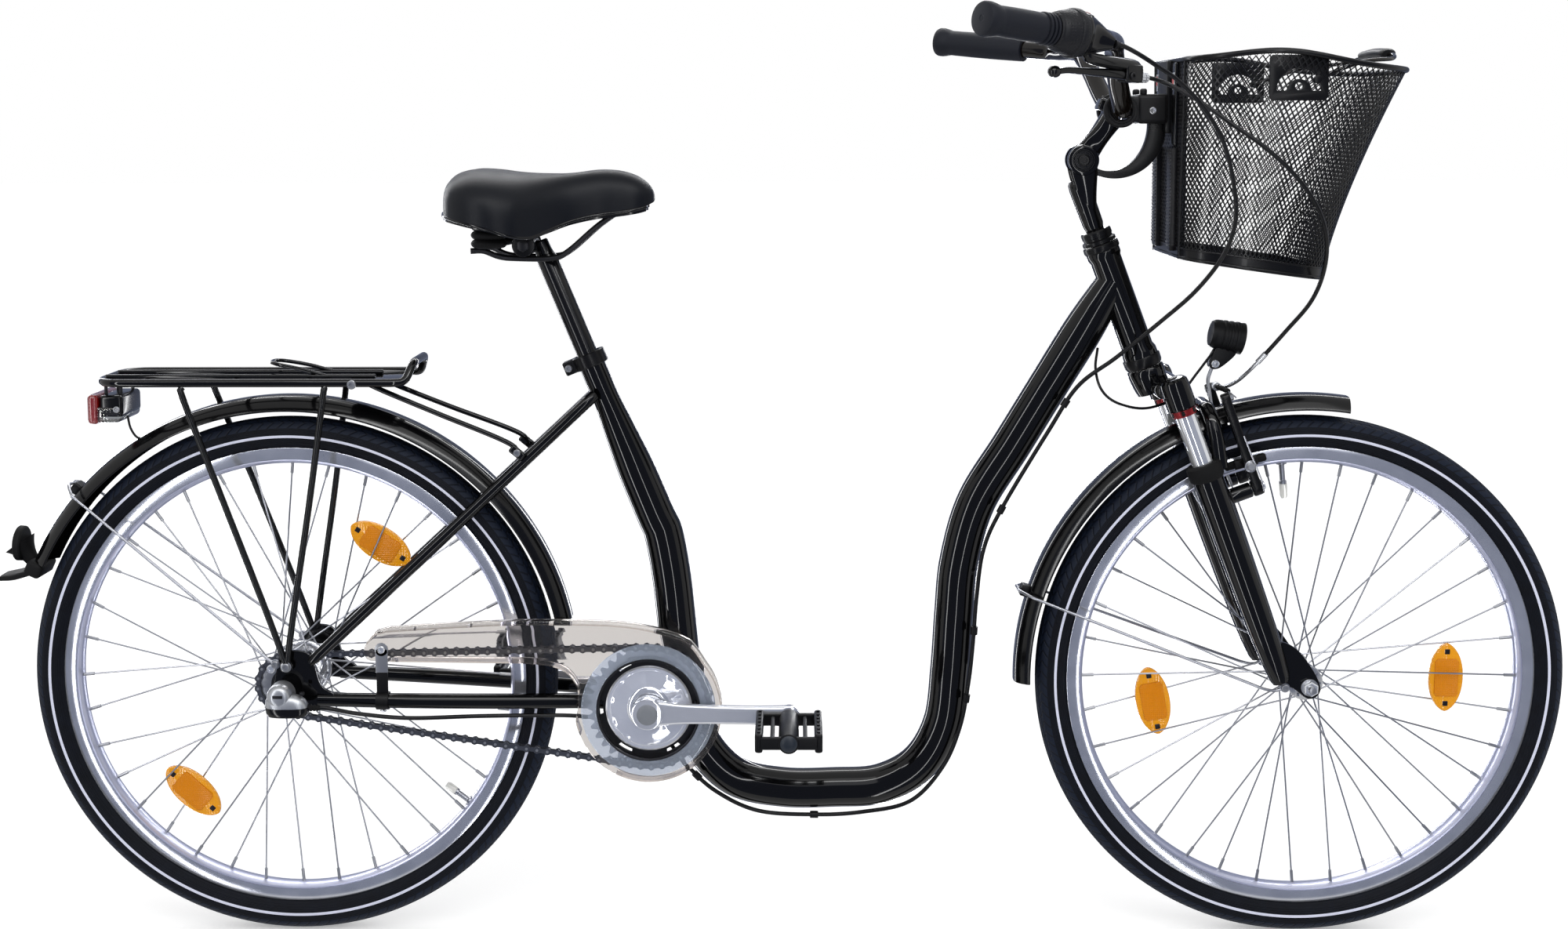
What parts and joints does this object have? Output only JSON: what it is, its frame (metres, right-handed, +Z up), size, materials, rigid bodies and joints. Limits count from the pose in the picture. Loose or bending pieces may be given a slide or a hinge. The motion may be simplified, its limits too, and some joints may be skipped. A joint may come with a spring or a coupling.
{
  "type": "city bicycle",
  "caption": "Step-through city bike with hub gears, suspension fork, rear rack, mudguards, chain guard and a front mesh basket.",
  "frame": {"origin": "on the ground under the middle of the bike's length, in its middle plane", "axes": "+X forward, +Y to the bike's left, +Z up"},
  "size_m": [1.918, 0.6306, 1.1272],
  "materials": {
    "black_paint": "gloss",
    "guard_paint": "gloss",
    "black_alloy": "satin",
    "saddle_shell": "gloss",
    "saddle_vinyl": "matte grained vinyl over foam",
    "rubber": "matte",
    "tyre": "matte with a white side stripe",
    "rim_alloy": "satin",
    "steel": "satin",
    "chrome": "polished",
    "chain_steel": "oiled",
    "guard_clear": "smoky clear plastic",
    "lamp_red": "dark red",
    "black_plastic": "fine grain"
  },
  "bodies": {
    "frame": {"main_tube": "black_paint", "head_tube": "black_paint", "chainstay_right": "black_paint", "chainstay_left": "black_paint", "seatstay_right": "black_paint", "seatstay_left": "black_paint", "seat_clamp": "black_paint", "rack_deck": "black_paint", "rack_legs_right": "black_paint", "rack_legs_left": "black_paint", "tail_light": "lamp_red", "rear_mudguard": "guard_paint", "rear_mudguard_stay": "steel", "rear_reflector": "rubber", "chain_guard": "guard_clear", "chain_guard_strap": "steel", "shift_box": "rim_alloy", "rear_axle": "steel", "chain": "chain_steel", "shift_cable": "black_plastic"},
    "seatpost_body": {"seatpost": "black_alloy"},
    "saddle": {"saddle_base": "saddle_shell", "saddle_cover": "saddle_vinyl", "saddle_bumpers": "rubber"},
    "rear_wheel": {"rear_tyre": "tyre", "rear_rim": "rim_alloy", "rear_hub": "rim_alloy"},
    "sprocket_body": {"sprocket": "steel"},
    "crank": {"chainring": "chrome", "crank_right": "chrome", "crank_left": "chrome"},
    "right_pedal": {"pedal_right": "black_plastic"},
    "left_pedal": {"pedal_left": "black_plastic"},
    "fork": {"fork_crown": "black_paint", "stanchion_right": "chrome", "stanchion_left": "chrome"},
    "fork_slider": {"fork_lower": "black_paint", "front_axle": "steel", "front_mudguard": "guard_paint", "front_mudguard_stay": "steel", "headlamp_bracket": "steel"},
    "front_wheel": {"front_tyre": "tyre", "front_rim": "rim_alloy", "front_hub": "rim_alloy"},
    "right_brake": {"brake_arm_right": "black_paint"},
    "left_brake": {"brake_arm_left": "black_paint"},
    "headlamp_body": {"headlamp": "black_plastic"},
    "quill": {"stem_quill": "black_paint"},
    "stem": {"stem_arm": "black_paint", "handlebar": "black_alloy", "grip_right": "rubber", "grip_left": "rubber", "shifter_housing": "black_plastic", "brake_bracket": "black_alloy", "basket_holder": "black_plastic", "brake_cable": "black_plastic"},
    "twist": {"twist_grip": "rubber"},
    "lever": {"brake_lever": "black_alloy"},
    "basket_body": {"basket": "black_paint"},
    "bail": {"basket_bail": "steel"}
  },
  "joints": [
    {"name": "seatpost_height", "type": "slide", "parent": "frame", "child": "seatpost_body", "axis": [-0.3795, 0, 0.9252], "range_m": [-0.06, 0.04]},
    {"name": "saddle_tilt", "type": "hinge", "parent": "seatpost_body", "child": "saddle", "pos_m": [-0.3065, 0, 0.8559], "axis": [0, 1, 0], "range_deg": [-12, 12]},
    {"name": "rear_wheel_spin", "type": "hinge", "parent": "frame", "child": "rear_wheel", "pos_m": [-0.599, 0, 0.323], "axis": [0, 1, 0], "continuous": true},
    {"name": "crank_spin", "type": "hinge", "parent": "frame", "child": "crank", "pos_m": [-0.16, 0, 0.295], "axis": [0, 1, 0], "continuous": true},
    {"name": "sprocket_spin", "type": "hinge", "parent": "frame", "child": "sprocket_body", "pos_m": [-0.599, 0, 0.323], "axis": [0, 1, 0], "continuous": true},
    {"name": "right_pedal_spin", "type": "hinge", "parent": "crank", "child": "right_pedal", "pos_m": [0.00996, 0, 0.29144], "axis": [0, 1, 0], "continuous": true},
    {"name": "left_pedal_spin", "type": "hinge", "parent": "crank", "child": "left_pedal", "pos_m": [-0.32996, 0, 0.29856], "axis": [0, 1, 0], "continuous": true},
    {"name": "steering", "type": "hinge", "parent": "frame", "child": "fork", "pos_m": [0.59104, 0, 0.30619], "axis": [-0.3502, 0, 0.9367], "range_deg": [-60, 60]},
    {"name": "fork_travel", "type": "slide", "parent": "fork", "child": "fork_slider", "axis": [-0.3502, 0, 0.9367], "range_m": [0, 0.04], "stiffness_N_per_m": 8000, "springref_m": -0.006, "deforming": ["brake_cable"]},
    {"name": "front_wheel_spin", "type": "hinge", "parent": "fork_slider", "child": "front_wheel", "pos_m": [0.636, 0, 0.323], "axis": [0, 1, 0], "continuous": true},
    {"name": "right_brake_arm", "type": "hinge", "parent": "fork_slider", "child": "right_brake", "pos_m": [0.57138, -0.04, 0.56436], "axis": [-0.9367, 0, -0.3502], "range_deg": [0, 3]},
    {"name": "left_brake_arm", "type": "hinge", "parent": "fork_slider", "child": "left_brake", "pos_m": [0.57138, 0.04, 0.56436], "axis": [0.9367, 0, 0.3502], "range_deg": [0, 3]},
    {"name": "headlamp_tilt", "type": "hinge", "parent": "fork_slider", "child": "headlamp_body", "pos_m": [0.52559, 0, 0.7094], "axis": [0, 1, 0], "range_deg": [-20, 20]},
    {"name": "quill_height", "type": "slide", "parent": "fork", "child": "quill", "axis": [-0.3502, 0, 0.9367], "range_m": [0, 0.03], "deforming": ["shift_cable"]},
    {"name": "stem_angle", "type": "hinge", "parent": "quill", "child": "stem", "pos_m": [0.3631, 0, 0.9554], "axis": [0, -1, 0], "range_deg": [0, 30]},
    {"name": "twist_grip_turn", "type": "hinge", "parent": "stem", "child": "twist", "pos_m": [0.29249, -0.24601, 1.099], "axis": [0.8246, 0.5566, -0.101], "range_deg": [0, 70]},
    {"name": "brake_lever_pull", "type": "hinge", "parent": "stem", "child": "lever", "pos_m": [0.386, -0.17, 1.0515], "axis": [-0.592, 0.806, 0], "range_deg": [0, 4.5], "stiffness_Nm_per_rad": 6, "springref_deg": -1.72},
    {"name": "basket_lift", "type": "slide", "parent": "stem", "child": "basket_body", "axis": [0.064, 0, 0.998], "range_m": [0, 0.12]},
    {"name": "bail_swing", "type": "hinge", "parent": "basket_body", "child": "bail", "pos_m": [0.6027, 0, 1.0476], "axis": [0, -1, 0], "range_deg": [0, 145]}
  ],
  "couplings": [
    {"joint": "sprocket_spin", "follows": "crank_spin", "ratio": 2},
    {"joint": "right_brake_arm", "follows": "brake_lever_pull", "ratio": 0.666},
    {"joint": "left_brake_arm", "follows": "brake_lever_pull", "ratio": 0.666}
  ]
}
